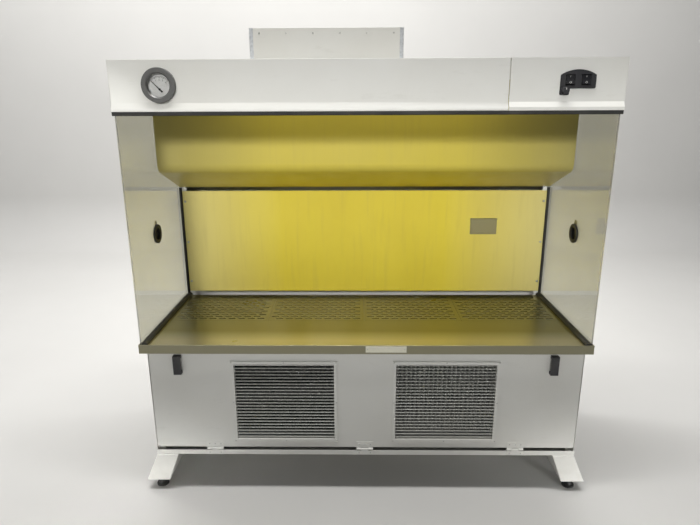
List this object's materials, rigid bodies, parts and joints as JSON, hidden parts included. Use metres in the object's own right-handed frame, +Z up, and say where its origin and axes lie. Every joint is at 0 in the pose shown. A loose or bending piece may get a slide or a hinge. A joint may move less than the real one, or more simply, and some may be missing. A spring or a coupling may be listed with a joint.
{
  "type": "fume hood",
  "caption": "Free-standing ventilated fume hood with open front, clear sides, yellow rear baffles, rimmed steel worktop and a louvred blower base on splayed foot rails.",
  "frame": {"origin": "on the floor, under the middle of the overall box", "axes": "+Z up; the open front faces -Y; +X is the user's right when facing the hood"},
  "size_m": [1.896, 0.786, 1.935],
  "materials": {
    "white_paint": "satin powder coat, slightly textured",
    "yellow_paint": "satin yellow lining",
    "stainless": "brushed stainless sheet",
    "galvanised": "galvanised sheet",
    "shaft_steel": "ground steel",
    "motor_casting": "dark enamel on casting",
    "foot_black": "black oxide",
    "clear_glass": "clear, polished",
    "lamp_glass": "white coated tube",
    "black_rubber": "matt",
    "black_plastic": "fine moulded texture",
    "rocker_plastic": "gloss",
    "gauge_alloy": "dark grey enamel on die casting",
    "pointer_black": "matt black",
    "outlet_grey": "moulded",
    "dark_media": "charcoal pleats",
    "pale_media": "white pleats"
  },
  "bodies": {
    "hood": {"baffle_screws": "stainless", "base_pan": "white_paint", "base_rear_panel": "white_paint", "base_sides": "white_paint", "base_top_rails": "white_paint", "blower_bulkhead": "galvanised", "blower_motors": "motor_casting", "blower_scroll_left": "galvanised", "blower_scroll_right": "galvanised", "cable_gland": "black_plastic", "control_fascia": "white_paint", "duct_collar": "stainless", "exhaust_box": "white_paint", "exhaust_trays": "stainless", "filter_left": "dark_media", "filter_right": "pale_media", "foot_rails": "white_paint", "gauge_bezel": "gauge_alloy", "gauge_case": "gauge_alloy", "gauge_lens": "clear_glass", "header_fascia": "white_paint", "header_sides": "white_paint", "header_strip": "black_rubber", "hinge_fixed_leaves": "white_paint", "lamp_housing": "white_paint", "lamp_tube": "lamp_glass", "lower_baffle": "yellow_paint", "outlet_socket": "outlet_grey", "port_rings": "black_rubber", "rear_columns": "white_paint", "rear_panel": "white_paint", "roof_panel": "white_paint", "side_glass_left": "clear_glass", "side_glass_right": "clear_glass", "switch_housing": "black_plastic", "upper_baffle": "yellow_paint", "worktop": "stainless", "worktop_gaskets": "black_rubber"},
    "leveller_front_left": {"leveller_front_left": "foot_black"},
    "leveller_front_right": {"leveller_front_right": "foot_black"},
    "leveller_rear_left": {"leveller_rear_left": "foot_black"},
    "leveller_rear_right": {"leveller_rear_right": "foot_black"},
    "access_panel": {"front_panel": "white_paint", "grille_left": "white_paint", "grille_right": "white_paint", "panel_handles": "black_plastic", "hinge_moving_leaves": "white_paint"},
    "impeller_left": {"impeller_left": "galvanised", "motor_shaft_left": "shaft_steel"},
    "impeller_right": {"impeller_right": "galvanised", "motor_shaft_right": "shaft_steel"},
    "damper": {"damper_blade": "galvanised", "damper_lever": "galvanised"},
    "port_cover_left": {"port_cover_left": "black_plastic"},
    "port_cover_right": {"port_cover_right": "black_plastic"},
    "gauge_pointer": {"gauge_pointer": "pointer_black"},
    "rocker_blower": {"rocker_blower": "rocker_plastic"},
    "rocker_light": {"rocker_light": "rocker_plastic"},
    "speed_knob": {"speed_knob": "black_plastic"},
    "outlet_cover": {"outlet_cover": "outlet_grey"}
  },
  "joints": [
    {"name": "leveller_front_left_slide", "type": "slide", "parent": "hood", "child": "leveller_front_left", "axis": [0, 0, -1], "range_m": [0, 0.02]},
    {"name": "leveller_front_right_slide", "type": "slide", "parent": "hood", "child": "leveller_front_right", "axis": [0, 0, -1], "range_m": [0, 0.02]},
    {"name": "leveller_rear_left_slide", "type": "slide", "parent": "hood", "child": "leveller_rear_left", "axis": [0, 0, -1], "range_m": [0, 0.02]},
    {"name": "leveller_rear_right_slide", "type": "slide", "parent": "hood", "child": "leveller_rear_right", "axis": [0, 0, -1], "range_m": [0, 0.02]},
    {"name": "access_panel_hinge", "type": "hinge", "parent": "hood", "child": "access_panel", "pos_m": [0, -0.345, 0.205], "axis": [1, 0, 0], "range_deg": [0, 90]},
    {"name": "impeller_left_spin", "type": "hinge", "parent": "hood", "child": "impeller_left", "pos_m": [-0.43, 0.061, 0.4], "axis": [1, 0, 0], "continuous": true},
    {"name": "impeller_right_spin", "type": "hinge", "parent": "hood", "child": "impeller_right", "pos_m": [0.43, 0.061, 0.4], "axis": [1, 0, 0], "continuous": true},
    {"name": "damper_hinge", "type": "hinge", "parent": "hood", "child": "damper", "pos_m": [-0.16, 0.211, 1.786], "axis": [1, 0, 0], "range_deg": [0, 90]},
    {"name": "port_cover_left_hinge", "type": "hinge", "parent": "hood", "child": "port_cover_left", "pos_m": [-0.9133, -0.064, 1.135], "axis": [1, 0, 0], "range_deg": [-120, 120]},
    {"name": "port_cover_right_hinge", "type": "hinge", "parent": "hood", "child": "port_cover_right", "pos_m": [0.9133, -0.064, 1.135], "axis": [1, 0, 0], "range_deg": [-120, 120]},
    {"name": "gauge_pointer_hinge", "type": "hinge", "parent": "hood", "child": "gauge_pointer", "pos_m": [-0.734, -0.367, 1.677], "axis": [0, 1, 0], "range_deg": [0, 90]},
    {"name": "rocker_blower_hinge", "type": "hinge", "parent": "hood", "child": "rocker_blower", "pos_m": [0.715, -0.368, 1.703], "axis": [1, 0, 0], "range_deg": [0, 20]},
    {"name": "rocker_light_hinge", "type": "hinge", "parent": "hood", "child": "rocker_light", "pos_m": [0.771, -0.368, 1.703], "axis": [1, 0, 0], "range_deg": [0, 20]},
    {"name": "speed_knob_hinge", "type": "hinge", "parent": "hood", "child": "speed_knob", "pos_m": [0.6975, -0.369, 1.667], "axis": [0, 1, 0], "range_deg": [0, 270]},
    {"name": "outlet_cover_hinge", "type": "hinge", "parent": "hood", "child": "outlet_cover", "pos_m": [0.592, 0.2775, 1.0815], "axis": [-1, 0, 0], "range_deg": [0, 110]}
  ]
}
